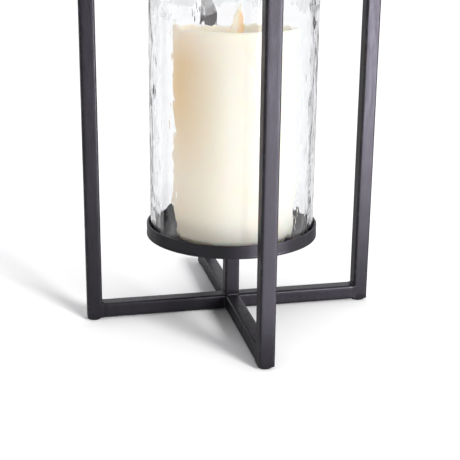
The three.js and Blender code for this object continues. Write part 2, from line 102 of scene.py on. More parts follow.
class Shader:
    """A material's node tree around one Principled shader, built by short calls."""

    def __init__(self, name, **values):
        self.material = bpy.data.materials.new(name)
        self.material.use_nodes = True
        self.tree = self.material.node_tree
        self.tree.nodes.clear()
        self.output = self.node("OutputMaterial")
        self.bsdf = self.node("BsdfPrincipled")
        self.link(self.bsdf.outputs["BSDF"], self.output.inputs["Surface"])
        self.place = self.node("TexCoord").outputs["Object"]
        for socket, value in values.items():
            self.bsdf.inputs[socket.replace("_", " ")].default_value = value

    def node(self, kind, **settings):
        made = self.tree.nodes.new("ShaderNode" + kind)
        for key, value in settings.items():
            setattr(made, key, value)
        return made

    def link(self, output, socket):
        self.tree.links.new(output, socket)

    def feed(self, socket, value):
        """Links an output to a socket, or sets the socket's own value."""
        if isinstance(value, bpy.types.NodeSocket):
            self.link(value, socket)
        else:
            socket.default_value = value

    def set(self, socket, value):
        self.feed(self.bsdf.inputs[socket], value)

    def stretched(self, x, y, z):
        """The object's coordinates, stretched along each axis."""
        mapping = self.node("Mapping")
        self.link(self.place, mapping.inputs["Vector"])
        mapping.inputs["Scale"].default_value = (x, y, z)
        return mapping.outputs["Vector"]

    def noise(self, scale, detail=3, rough=0.5, place=None):
        texture = self.node("TexNoise")
        self.link(place or self.place, texture.inputs["Vector"])
        texture.inputs["Scale"].default_value = scale
        texture.inputs["Detail"].default_value = detail
        texture.inputs["Roughness"].default_value = rough
        return texture.outputs["Fac"]

    def math(self, operation, a, b=0.0, clamp=False):
        made = self.node("Math", operation=operation, use_clamp=clamp)
        self.feed(made.inputs[0], a)
        self.feed(made.inputs[1], b)
        return made.outputs[0]

    def spread(self, value, low, high, to_low=0.0, to_high=1.0):
        """Maps low..high to to_low..to_high, clamped."""
        made = self.node("MapRange")
        self.feed(made.inputs["Value"], value)
        made.inputs["From Min"].default_value = low
        made.inputs["From Max"].default_value = high
        made.inputs["To Min"].default_value = to_low
        made.inputs["To Max"].default_value = to_high
        return made.outputs["Result"]

    def mix(self, amount, first, second):
        """A colour between two colours."""
        made = self.node("Mix", data_type="RGBA")
        self.feed(made.inputs["Factor"], amount)
        for socket, colour in ((made.inputs["A"], first), (made.inputs["B"], second)):
            self.feed(socket, colour if isinstance(colour, bpy.types.NodeSocket) else (*colour, 1))
        return made.outputs["Result"]

    def bump(self, height, distance, after=None):
        """A normal raised by height over a distance in metres, on top of the normal given as after."""
        made = self.node("Bump")
        made.inputs["Distance"].default_value = distance
        self.link(height, made.inputs["Height"])
        if after is not None:
            self.link(after, made.inputs["Normal"])
        return made.outputs["Normal"]


# ---------------------------------------------------------------- materials


def frame_paint():
    """Satin charcoal paint with a faint violet cast, orange peel, cloudy sheen, and corners made lighter by
    rubbed wear and by a painted highlight.
    """
    s = Shader("satin_charcoal_paint", IOR=1.42)
    clouds = s.noise(38, detail=4, rough=0.6)
    grain = s.noise(900, detail=2)
    base = s.mix(s.spread(clouds, 0.3, 0.7), (0.0080, 0.0066, 0.0100), (0.0130, 0.0108, 0.0160))
    edge = s.node("Attribute", attribute_name="edge").outputs["Fac"]
    scuffs = s.noise(240, detail=5, rough=0.7)
    # Lighter corners and rims: partly rubbed wear, partly a painted highlight where they would mirror the
    # light.
    worn_and_highlit = s.math("MULTIPLY", edge, s.spread(scuffs, 0.52, 0.68), clamp=True)
    s.set("Base Color", s.mix(s.math("MULTIPLY", worn_and_highlit, 0.35), base, (0.10, 0.095, 0.105)))
    streaks = s.noise(60, detail=5, rough=0.7, place=s.stretched(5, 5, 0.8))
    s.set("Roughness", s.spread(streaks, 0.30, 0.70, 0.33, 0.50))
    peel = s.bump(streaks, 0.06 * MM, after=s.bump(grain, 0.07 * MM))
    s.set("Normal", s.bump(clouds, 0.30 * MM, after=peel))
    return s.material


def weld_paint():
    """The same paint where it runs over a weld: thicker and glossier."""
    s = Shader("paint_over_weld")
    lumps = s.noise(700, detail=3)
    s.set("Base Color", s.mix(lumps, (0.014, 0.013, 0.016), (0.022, 0.020, 0.025)))
    s.set("Roughness", s.spread(lumps, 0.3, 0.7, 0.28, 0.42))
    s.set("Normal", s.bump(lumps, 0.2 * MM))
    return s.material


def hammered_glass():
    """Clear glass. Lamps and diffuse light pass straight through, so that the candle inside stays lit."""
    s = Shader("clear_hammered_glass", Roughness=0.0, IOR=1.47, Transmission_Weight=1.0)
    s.bsdf.inputs["Base Color"].default_value = (0.935, 0.940, 0.945, 1)
    ripples = s.noise(190, detail=2, place=s.stretched(1, 1, 0.35))
    s.set("Normal", s.bump(ripples, 0.24 * MM))
    path = s.node("LightPath")
    clear = s.node("BsdfTransparent")
    clear.inputs["Color"].default_value = (0.965, 0.968, 0.968, 1)
    bounced = s.node("MixShader")
    s.link(path.outputs["Is Diffuse Ray"], bounced.inputs[0])
    s.link(s.bsdf.outputs["BSDF"], bounced.inputs[1])
    s.link(clear.outputs["BSDF"], bounced.inputs[2])
    lit = s.node("MixShader")
    s.link(path.outputs["Is Shadow Ray"], lit.inputs[0])
    s.link(bounced.outputs["Shader"], lit.inputs[1])
    s.link(clear.outputs["BSDF"], lit.inputs[2])
    s.link(lit.outputs["Shader"], s.output.inputs["Surface"])
    return s.material


def painted_amber_shade(s, clouds):
    """How much painted amber shade the wax gets, standing in for its warm shaded side: most on the pillar's
    left, high on its side, and cloudy at the patch's edge.
    """
    axis = s.node("SeparateXYZ")
    s.link(s.place, axis.inputs[0])
    leftward = s.spread(axis.outputs["X"], CANDLE_X - 0.30 * WAX_RADIUS, CANDLE_X - 0.95 * WAX_RADIUS)
    height = WAX_HIGH.z - WAX_LOW.z
    below = s.spread(axis.outputs["Z"], WAX_LOW.z + 0.30 * height, WAX_LOW.z + 0.62 * height, 0.40, 1.0)
    above = s.spread(axis.outputs["Z"], WAX_HIGH.z, WAX_HIGH.z - 0.16 * height, 0.30, 1.0)
    drift = s.spread(clouds, 0.35, 0.65, 0.75, 1.0)
    sideways = s.math("MULTIPLY", leftward, below)
    return s.math("MULTIPLY", sideways, s.math("MULTIPLY", above, drift), clamp=True)


def ivory_wax():
    """Warm ivory wax that light soaks into, with cloudy mottling and painted amber shade on the pillar's
    left.
    """
    s = Shader("ivory_wax", Subsurface_Weight=1.0, Subsurface_Scale=0.004, IOR=1.44)
    s.bsdf.inputs["Subsurface Radius"].default_value = (1.0, 0.72, 0.45)
    clouds = s.noise(22, detail=4, rough=0.55)
    warm = s.noise(11, detail=2, place=s.stretched(1, 1, 0.6))
    cream = s.mix(s.spread(clouds, 0.3, 0.7), (0.905, 0.865, 0.755), (0.925, 0.895, 0.805))
    # The amber on the pillar's left is painted shade: the warm glow of the wax's shaded side.
    s.set("Base Color", s.mix(painted_amber_shade(s, warm), cream, (0.80, 0.56, 0.27)))
    pores = s.noise(520, detail=3, rough=0.6)
    s.set("Roughness", s.spread(clouds, 0.25, 0.75, 0.42, 0.58))
    s.set("Normal", s.bump(s.noise(95, detail=3), 0.25 * MM, after=s.bump(pores, 0.05 * MM)))
    return s.material


def flame_plastic():
    """Translucent plastic, cream through the body, with painted amber shade towards its right edge."""
    s = Shader("amber_flame_plastic", Subsurface_Weight=1.0, Subsurface_Scale=0.003, Roughness=0.32)
    s.bsdf.inputs["Subsurface Radius"].default_value = (1.0, 0.75, 0.5)
    axis = s.node("SeparateXYZ")
    s.link(s.place, axis.inputs[0])
    # The amber towards the right edge is painted shade, on the side turned away from the light.
    across = s.math("SUBTRACT", axis.outputs["X"], PIVOT.x)
    drift = s.math("MULTIPLY", s.math("SUBTRACT", s.noise(160, detail=2), 0.5), 3 * MM)
    amber = s.spread(s.math("ADD", across, drift), 0.8 * MM, 4.4 * MM)
    body = s.mix(amber, (0.93, 0.85, 0.74), (0.84, 0.56, 0.30))
    low = s.spread(axis.outputs["Z"], PIVOT.z + 4 * MM, PIVOT.z + 20 * MM, 0.6, 0.0)
    s.set("Base Color", s.mix(low, body, (0.92, 0.74, 0.52)))
    s.set("Normal", s.bump(s.noise(420, detail=2), 0.08 * MM))
    return s.material


def moulded(name, dark, light, roughness, grain=900, depth=0.03, **values):
    """Moulded plastic, rubber or resin: fine grain and a faint shift of tone."""
    s = Shader(name, **values)
    s.set("Base Color", s.mix(s.spread(s.noise(70, detail=4), 0.3, 0.7), dark, light))
    s.set("Roughness", s.spread(s.noise(140, detail=3), 0.3, 0.7, roughness - 0.06, roughness + 0.06))
    s.set("Normal", s.bump(s.noise(grain, detail=2), depth * MM))
    return s.material


def metal(name, dark, light, roughness, scale=400):
    """Bare metal with drawn or plated streaks."""
    s = Shader(name, Metallic=1.0)
    streaks = s.noise(scale, detail=4, rough=0.65)
    s.set("Base Color", s.mix(streaks, dark, light))
    s.set("Roughness", s.spread(streaks, 0.3, 0.7, roughness - 0.07, roughness + 0.09))
    s.set("Normal", s.bump(streaks, 0.02 * MM))
    return s.material


def copper_winding():
    """Enamelled copper wire in close turns."""
    s = Shader("copper_winding", Metallic=1.0, Roughness=0.3)
    turns = s.node("TexWave", wave_type="BANDS", bands_direction="Z", wave_profile="SIN")
    s.link(s.place, turns.inputs["Vector"])
    turns.inputs["Scale"].default_value = 900
    tone = s.math("ADD", s.math("MULTIPLY", turns.outputs["Fac"], 0.6), s.math("MULTIPLY", s.noise(300), 0.4))
    s.set("Base Color", s.mix(tone, (0.30, 0.10, 0.04), (0.78, 0.34, 0.16)))
    s.set("Normal", s.bump(turns.outputs["Fac"], 0.12 * MM))
    return s.material


def circuit_board():
    """Green board: copper tracks show through the lacquer, and the chip on it is black."""
    s = Shader("green_circuit_board", Roughness=0.35)
    tracks = s.node("TexBrick", offset=0.35, squash=0.6)
    s.link(s.place, tracks.inputs["Vector"])
    tracks.inputs["Scale"].default_value = 260
    tracks.inputs["Mortar Size"].default_value = 0.05
    lacquer = s.mix(s.noise(300), (0.015, 0.10, 0.045), (0.03, 0.16, 0.075))
    board = s.mix(s.spread(tracks.outputs["Fac"], 0, 1, 0, 0.6), lacquer, (0.10, 0.30, 0.12))
    height = s.node("SeparateXYZ")
    s.link(s.place, height.inputs[0])
    board_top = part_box("circuit_board")[1].z - 1.2 * MM
    chip = s.spread(height.outputs["Z"], board_top, board_top + 0.1 * MM)
    s.set("Base Color", s.mix(chip, board, (0.012, 0.012, 0.014)))
    s.set("Normal", s.bump(tracks.outputs["Fac"], 0.05 * MM))
    return s.material


def battery_jacket(name, flat_end, tip_end):
    """A printed foil jacket in two plain tones, with bare steel at both ends. The ends are X positions."""
    s = Shader(name)
    axis = s.node("SeparateXYZ")
    s.link(s.place, axis.inputs[0])
    along = s.spread(axis.outputs["X"], flat_end, tip_end)
    foil = s.mix(s.noise(500, place=s.stretched(1, 8, 8)), (0.10, 0.11, 0.13), (0.17, 0.18, 0.20))
    band = s.spread(along, 0.70, 0.705)
    jacket = s.mix(band, foil, (0.50, 0.31, 0.11))
    bare = s.math("MAXIMUM", s.spread(along, 0.965, 0.967), s.spread(along, 0.012, 0.010))
    s.set("Base Color", s.mix(bare, jacket, (0.62, 0.62, 0.63)))
    s.set("Metallic", s.spread(bare, 0, 1, 0.35, 1.0))
    s.set("Roughness", s.spread(s.noise(260), 0.3, 0.7, 0.26, 0.40))
    s.set("Normal", s.bump(s.noise(600), 0.02 * MM))
    return s.material


def plain_floor():
    """Matt white sweep, painted darker where mirrors see it: painted shade in reflections."""
    s = Shader("plain_floor", Roughness=0.9)
    s.bsdf.inputs["Specular IOR Level"].default_value = 0.0
    tone = s.noise(3, detail=2)
    sweep = s.mix(tone, (0.67, 0.67, 0.67), (0.68, 0.68, 0.68))
    path = s.node("LightPath").outputs
    # Glossy rays see the floor at about half its colour: painted shade in the floor's reflections.
    mirrored = s.math("SUBTRACT", path["Is Glossy Ray"], path["Is Transmission Ray"], clamp=True)
    s.set("Base Color", s.mix(mirrored, sweep, (0.34, 0.34, 0.34)))
    return s.material


# ---------------------------------------------------------------- mesh building


def add_piece(name, points, faces, material, body, replaced=(), edge=None):
    """Makes a smooth mesh piece with its material, ties it to its body and hides the CAD nodes that it stands
    for.
    """
    mesh = bpy.data.meshes.new(name)
    mesh.from_pydata(np.asarray(points).reshape(-1, 3).tolist(), [], faces)
    mesh.update()
    mesh.shade_smooth()
    if edge is not None:
        attribute = mesh.attributes.new("edge", "FLOAT", "POINT")
        attribute.data.foreach_set("value", np.asarray(edge, np.float32).ravel())
    obj = bpy.data.objects.new(name, mesh)
    bpy.context.scene.collection.objects.link(obj)
    mesh.materials.append(material)
    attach(obj, body)
    if replaced:
        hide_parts(*replaced)
    return obj


def grid_faces(rows, columns, closed_rows=False):
    """Quads between rows of points. A row is a closed loop, and closed_rows joins the last to the first."""
    index = np.arange(rows * columns).reshape(rows, columns)
    if closed_rows:
        index = np.vstack([index, index[:1]])
    here, there = index[:-1], index[1:]
    quads = np.stack([here, np.roll(here, -1, 1), np.roll(there, -1, 1), there], -1)
    return quads.reshape(-1, 4).tolist()


def rounded(profile, spacing, passes=3, closed=True):
    """Resamples a profile evenly and rounds its corners over a few spacings."""
    corners = np.array(profile, float)
    if closed:
        corners = np.vstack([corners, corners[:1]])
    points = []
    for start, end in zip(corners[:-1], corners[1:]):
        count = max(1, round(np.linalg.norm(end - start) / spacing))
        points.extend(start + (end - start) * step / count for step in range(count))
    if not closed:
        points.append(corners[-1])
    points = np.array(points)
    for _ in range(passes):
        mean = (np.roll(points, 1, 0) + 2 * points + np.roll(points, -1, 0)) / 4
        if not closed:
            mean[0], mean[-1] = points[0], points[-1]
        points = mean
    return points


def spun(profile, around, centre=(0, 0), solid=False):
    """A body of revolution about a vertical axis: its points and faces. Profiles are (radius, height) rows.

    A ring's profile is a closed loop. A solid's profile runs from the axis, below, to the axis, above.
    """
    angles = np.arange(around) * TAU / around
    profile = np.asarray(profile, float)
    ends = []
    if solid:
        ends = [profile[0], profile[-1]]
        profile = profile[1:-1]
    x = centre[0] + profile[:, :1] * np.cos(angles)
    y = centre[1] + profile[:, :1] * np.sin(angles)
    z = np.broadcast_to(profile[:, 1:], x.shape)
    points = np.stack([x, y, z], -1)
    faces = grid_faces(len(profile), around, closed_rows=not solid)
    if solid:
        count = points.size // 3
        points = np.vstack([points.reshape(-1, 3), [[*centre, ends[0][1]], [*centre, ends[1][1]]]])
        last = (len(profile) - 1) * around
        for i in range(around):
            j = (i + 1) % around
            faces.append([count, j, i])
            faces.append([count + 1, last + i, last + j])
    return points, faces


def field(points, scale, seed=0.0):
    """Smooth noise in -1..1 at each point, for gentle unevenness."""
    flat = np.asarray(points).reshape(-1, 3) * scale + seed
    values = [noise.noise(Vector(p)) for p in flat]
    return np.array(values).reshape(np.asarray(points).shape[:-1])


def square_ring(side, corner):
    """A rounded square as points, outward normals and a 0..1 mark of how near each point is to a corner."""
    per_corner, per_flat = 7, 5
    half = side / 2
    centre = half - corner
    points, normals, marks = [], [], []
    for quarter in range(4):
        turn = quarter * math.pi / 2
        cx = centre * math.copysign(1, math.cos(turn + math.pi / 4))
        cy = centre * math.copysign(1, math.sin(turn + math.pi / 4))
        for step in range(per_corner + 1):
            angle = turn + math.pi / 2 * step / per_corner
            direction = (math.cos(angle), math.sin(angle))
            points.append((cx + corner * direction[0], cy + corner * direction[1]))
            normals.append(direction)
            marks.append(math.sin(math.pi * step / per_corner))
        start = np.array(points[-1])
        direction = (math.cos(turn + math.pi / 2), math.sin(turn + math.pi / 2))
        run = np.array([-math.sin(turn + math.pi / 2), math.cos(turn + math.pi / 2)]) * 2 * centre
        for step in range(1, per_flat):
            points.append(tuple(start + run * step / per_flat))
            normals.append(direction)
            marks.append(0.0)
    return np.array(points), np.array(normals), np.array(marks)


def tube(name, node, axis, material, replaced):
    """A square tube that fills a CAD tube's box: rounded corners, softened ends and slightly uneven faces."""
    low, high = (np.array(corner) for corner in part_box(node))
    middle = (low + high) / 2
    outer, normals, marks = square_ring(TUBE, TUBE_CORNER)
    inner, _, _ = square_ring(TUBE - 2 * TUBE_WALL, TUBE_CORNER - TUBE_WALL)
    across = [(axis + 1) % 3, (axis + 2) % 3]
    soft = TUBE_END_SOFTNESS
    steps = max(2, round((high[axis] - low[axis]) / (5 * MM)))
    body = np.linspace(low[axis] + soft, high[axis] - soft, steps + 1)
    stations = [(low[axis], soft), (low[axis] + soft * 0.3, soft * 0.3)]
    stations += [(place, 0.0) for place in body]
    stations += [(high[axis] - soft * 0.3, soft * 0.3), (high[axis], soft)]
    rows = []
    for place, inset in stations:
        row = np.zeros((len(outer), 3))
        row[:, axis] = place
        row[:, across] = middle[across] + outer - normals * inset
        rows.append(row)
    rows = np.array(rows)
    # The unevenness goes mostly inwards, so that the tube stays in its CAD box.
    push = 0.07 * MM * field(rows, 22, seed=len(name)) + 0.03 * MM * field(rows, 90, seed=3.0) - 0.05 * MM
    rows[:, :, across] += push[..., None] * normals
    for place in (high[axis], low[axis]):
        row = np.zeros((len(inner), 3))
        row[:, axis] = place
        row[:, across] = middle[across] + inner
        rows = np.concatenate([rows, row[None]])
    # Near the corners and ends the paint turns lighter: rubbed wear and painted highlight.
    edge = np.tile(marks, (len(rows), 1))
    edge[[0, 1, len(stations) - 2, len(stations) - 1]] = 1.0
    return add_piece(name, rows, grid_faces(len(rows), len(outer), closed_rows=True), material, "frame",
                     replaced, edge)


def cap_plate(name, node, material):
    """A small rounded plate that closes a leg's top."""
    low, high = (np.array(corner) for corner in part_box(node))
    middle = (low + high) / 2
    outer, normals, marks = square_ring(TUBE, TUBE_CORNER)
    soft = CAP_SOFTNESS
    height = high[2] - low[2]
    arc = [(math.sin(a), math.cos(a)) for a in np.linspace(0, math.pi / 2, 5)]
    levels = [(low[2], 4 * MM), (low[2], soft)]
    levels += [(low[2] + soft * (1 - c), soft * (1 - s)) for s, c in arc[1:]]
    levels += [(high[2] - soft * (1 - c), soft * (1 - s)) for s, c in reversed(arc)]
    levels += [(high[2], 2 * MM), (high[2], 4 * MM)]
    rows = []
    for level, inset in levels:
        shrink = max(0.0, 1 - inset / (TUBE / 2))
        row = np.zeros((len(outer), 3))
        row[:, 2] = level
        row[:, :2] = middle[:2] + (outer - normals * inset if inset <= soft else outer * shrink)
        rows.append(row)
    rows = np.array(rows)
    count = rows.size // 3
    columns = len(outer)
    faces = grid_faces(len(rows), columns)
    faces += [list(range(columns))[::-1], list(range(count - columns, count))]
    # The whole cap gets part of the lighter-corner mark: rubbed wear and painted highlight.
    edge = np.tile(np.maximum(marks, 0.3), (len(rows), 1))
    return add_piece(name, rows, faces, material, "frame", [node], edge)


def bead(start, end, out, radius, seed):
    """Points and faces of one weld bead: overlapping ripples along a seam, with tapered ends."""
    start, end = np.array(start, float), np.array(end, float)
    run = end - start
    length = np.linalg.norm(run)
    forward = run / length
    out = np.array(out, float) / np.linalg.norm(out)
    side = np.cross(forward, out)
    step_length, ripple = 0.35 * MM, 1.5 * MM
    steps = max(8, round(length / step_length))
    sides = 10
    rows = []
    for step in range(steps + 1):
        t = step / steps
        taper = math.sqrt(max(0.02, 1 - (2 * t - 1) ** 6))
        phase = (t * length / ripple) % 1
        lump = 0.88 + 0.16 * math.sin(math.pi * phase) + 0.08 * noise.noise(Vector((t * 9, seed, 0.5)))
        centre = start + run * t + side * 0.15 * MM * noise.noise(Vector((t * 6, seed, 7.5)))
        angles = np.arange(sides) * TAU / sides
        reach = radius * lump * taper
        rows.append(centre + reach * (np.outer(np.cos(angles), out) + np.outer(np.sin(angles), side)))
    faces = grid_faces(len(rows), sides)
    faces += [list(range(sides))[::-1], list(range(steps * sides, (steps + 1) * sides))]
    return np.array(rows).reshape(-1, 3), faces


def join_parts(parts):
    """Several (points, faces) bodies as one."""
    points, faces, count = [], [], 0
    for part_points, part_faces in parts:
        flat = np.asarray(part_points).reshape(-1, 3)
        points.append(flat)
        faces += [[count + i for i in face] for face in part_faces]
        count += len(flat)
    return np.vstack(points), faces


# ---------------------------------------------------------------- frame


SIDES = {"right": (1, 0), "back": (0, 1), "left": (-1, 0), "front": (0, -1)}


def build_frame(paint, weld, rubber):
    """Legs with their caps and feet, both crosses, the stem, the tray and the welds."""
    for side in SIDES:
        tube(f"{side}_leg", f"leg_{side}", 2, paint, [f"leg_{side}"])
        cap_plate(f"{side}_leg_cap", f"leg_cap_{side}", paint)
        build_foot(side, rubber)
    for level in ("base", "top"):
        tube(f"{level}_cross_through_bar", f"{level}_bar_through", 0, paint, [f"{level}_bar_through"])
        for side in ("front", "back"):
            tube(f"{level}_cross_{side}_bar", f"{level}_bar_{side}", 1, paint, [f"{level}_bar_{side}"])
    tube("tray_stem", "stem", 2, paint, ["stem"])
    build_tray(paint)
    build_welds(weld)
    build_ground_welds(paint)


def build_foot(side, rubber):
    """A turned rubber foot whose shank plugs the tube's end."""
    low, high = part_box(f"foot_{side}")
    radius = (high.x - low.x) / 2
    shank = radius - 0.95 * MM
    flange = low.z + 2 * MM
    chamfer = 0.8 * MM
    profile = [(0, low.z), (radius - chamfer, low.z), (radius, low.z + chamfer), (radius, flange),
               (shank, flange), (shank, high.z), (0, high.z)]
    centre = ((low.x + high.x) / 2, (low.y + high.y) / 2)
    points, faces = spun(rounded(profile, 0.3 * MM, passes=2, closed=False), 48, centre, solid=True)
    add_piece(f"{side}_foot", points, faces, rubber, "frame", [f"foot_{side}"])


def build_tray(paint):
    """The round plate, and the rolled band welded round it."""
    radius = (RIM_HIGH.x - RIM_LOW.x) / 2
    inner = radius - BAND_THICKNESS
    band = [(inner, RIM_LOW.z), (radius, RIM_LOW.z), (radius, RIM_HIGH.z), (inner, RIM_HIGH.z)]
    profile = rounded(band, 0.3 * MM, passes=4)
    points, faces = spun(profile, 288)
    angle = np.arctan2(points[..., 1], points[..., 0])
    wobble = 0.10 * MM * np.sin(3 * angle + 0.6) + 0.05 * MM * np.sin(7 * angle + 2.0)
    scale = 1 + (wobble - 0.12 * MM) * (points[..., 2] > RIM_LOW.z + 2 * MM) / radius
    points[..., 0] *= scale
    points[..., 1] *= scale
    # The band's rims get the paint's lighter corners: rubbed wear and painted highlight.
    near_edge = np.minimum(points[..., 2] - RIM_LOW.z, RIM_HIGH.z - points[..., 2])
    edge = np.clip(1 - near_edge / (0.8 * MM), 0, 1)
    add_piece("tray_band", points, faces, paint, "frame", ["tray_rim"], edge)

    disc_radius = (DISC_HIGH.x - DISC_LOW.x) / 2
    plate = [(0, DISC_LOW.z), (disc_radius, DISC_LOW.z), (disc_radius, DISC_HIGH.z), (0, DISC_HIGH.z)]
    points, faces = spun(rounded(plate, 0.5 * MM, passes=1, closed=False), 192, solid=True)
    no_wear_or_highlight = np.zeros(len(points))
    add_piece("tray_plate", points, faces, paint, "frame", ["tray_disc"], no_wear_or_highlight)


def build_welds(weld):
    """Weld beads: at each leg's inner corner, in the crosses' corners, and at both ends of the stem."""
    half = TUBE / 2
    parts = []
    for level, up in (("base", 1), ("top", -1)):
        low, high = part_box(f"{level}_bar_through")
        seam = high.z if up > 0 else low.z
        reach = high.x
        for index, (x, y) in enumerate(SIDES.values()):
            across = np.array([-y, x, 0.0]) * (half - 1.6 * MM)
            corner = np.array([x * reach, y * reach, seam])
            parts.append(bead(corner - across, corner + across, (-x, -y, up), 1.15 * MM, index + 2.5 * up))
        for x in (-1, 1):
            for y in (-1, 1):
                foot = (x * half, y * half, low.z + 1 * MM)
                head = (x * half, y * half, high.z - 1 * MM)
                parts.append(bead(foot, head, (x, y, 0), 0.9 * MM, x + 3 * y))
    stem_low, stem_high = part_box("stem")
    for seam in (stem_low.z, stem_high.z):
        for index, (x, y) in enumerate(SIDES.values()):
            across = np.array([-y, x, 0.0]) * (half - 0.8 * MM)
            corner = np.array([x * half, y * half, seam])
            parts.append(bead(corner - across, corner + across, (x, y, 0.3), 1.0 * MM, index + 11))
    points, faces = join_parts(parts)
    add_piece("weld_beads", points, faces, weld, "frame")


def build_ground_welds(paint):
    """Weld that fills the groove beside each leg where a bar meets it, ground flush with both tubes."""
    half = TUBE / 2
    groove = np.array([(-1.4, -0.30), (-0.8, -0.02), (2.5, -0.02), (3.1, -0.30), (3.1, -2.0), (-1.4, -2.0)])
    section = rounded(groove * MM, 0.25 * MM, passes=2)
    columns = len(section)
    parts = []
    for level in ("base", "top"):
        low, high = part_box(f"{level}_bar_through")
        heights = np.linspace(low.z + 0.35 * MM, high.z - 0.35 * MM, 24)
        for x, y in SIDES.values():
            for hand in (-1, 1):
                across = np.array([-y, x]) * hand
                rows = np.zeros((len(heights), columns, 3))
                places = heights[:, None, None] * np.ones((1, columns, 3))
                ripple = 0.02 * MM * field(places, 300, seed=hand)
                along = high.x + section[:, :1]
                outward = half + section[:, 1] + ripple
                rows[:, :, :2] = along * np.array([x, y]) + outward[..., None] * across
                rows[:, :, 2] = heights[:, None]
                faces = grid_faces(len(rows), columns)
                count = rows.size // 3
                faces += [list(range(columns))[::-1], list(range(count - columns, count))]
                if hand > 0:
                    faces = [face[::-1] for face in faces]
                parts.append((rows, faces))
    points, faces = join_parts(parts)
    no_wear_or_highlight = np.zeros(len(points))
    add_piece("ground_welds", points, faces, paint, "frame", edge=no_wear_or_highlight)


# ---------------------------------------------------------------- glass


def dimples(angle, height, cells_round, cell_height, seed):
    """Hammer marks on a cylinder: 1 at each mark's middle, falling smoothly to the ridges between them."""
    sharpness = 14.0
    rng = np.random.default_rng(seed)
    rows = int(math.ceil((height.max() - height.min()) / cell_height)) + 3
    jitter = rng.uniform(-0.34, 0.34, (rows, cells_round, 2))
    u = angle / TAU * cells_round
    v = (height - height.min()) / cell_height + 1
    base_u, base_v = np.floor(u).astype(int), np.floor(v).astype(int)
    total = np.zeros_like(u)
    for dv in (-1, 0, 1):
        for du in (-2, -1, 0, 1, 2):
            row, column = np.clip(base_v + dv, 0, rows - 1), base_u + du
            shift = jitter[row, column % cells_round]
            middle_u = column + 0.5 + shift[..., 0] + 0.5 * (row % 2)
            middle_v = base_v + dv + 0.5 + shift[..., 1]
            total += np.exp(-sharpness * ((u - middle_u) ** 2 + (v - middle_v) ** 2))
    nearest = -np.log(total + 1e-9) / sharpness
    return 1 - 4 * nearest


def build_glass(glass):
    """The open cylinder: hammered outside, gently wavy inside, with fire-rounded edges."""
    bottom, top = GLASS_LOW.z + GLASS_LIP, GLASS_HIGH.z - GLASS_LIP
    heights = np.linspace(bottom, top, GLASS_ALONG)
    angles = np.arange(GLASS_AROUND) * TAU / GLASS_AROUND
    grid_angle, grid_height = np.meshgrid(angles, heights)
    fade = np.clip(np.minimum(grid_height - heights[0], heights[-1] - grid_height) / (6 * MM), 0, 1)
    marks = dimples(grid_angle, grid_height, 46, 12.5 * MM, seed=5)
    outside = GLASS_RADIUS + (0.12 * MM * (marks - 1.0) - 0.05 * MM) * fade
    wave = dimples(grid_angle + 0.1, grid_height, 22, 31 * MM, seed=11)
    inside = GLASS_RADIUS - GLASS_WALL + 0.10 * MM * (0.5 - wave) * fade

    def ring(radius, height):
        return np.stack([radius * np.cos(grid_angle[0]), radius * np.sin(grid_angle[0]),
                         np.full(GLASS_AROUND, height)], -1)

    middle, half_wall = GLASS_RADIUS - GLASS_WALL / 2, GLASS_WALL / 2
    rows = [np.stack([r * np.cos(a), r * np.sin(a), h], -1)
            for r, a, h in zip(outside, grid_angle, grid_height)]
    for turn in np.linspace(0, math.pi, 8)[1:-1]:
        rows.append(ring(middle + half_wall * math.cos(turn), top + GLASS_LIP * math.sin(turn)))
    rows += [np.stack([r * np.cos(a), r * np.sin(a), h], -1)
             for r, a, h in zip(inside[::-1], grid_angle, grid_height[::-1])]
    for turn in np.linspace(math.pi, TAU, 8)[1:-1]:
        rows.append(ring(middle + half_wall * math.cos(turn), bottom + GLASS_LIP * math.sin(turn)))
    faces = grid_faces(len(rows), GLASS_AROUND, closed_rows=True)
    add_piece("hammered_glass_cylinder", rows, faces, glass, "glass", ["glass_hurricane"])


# ---------------------------------------------------------------- candle


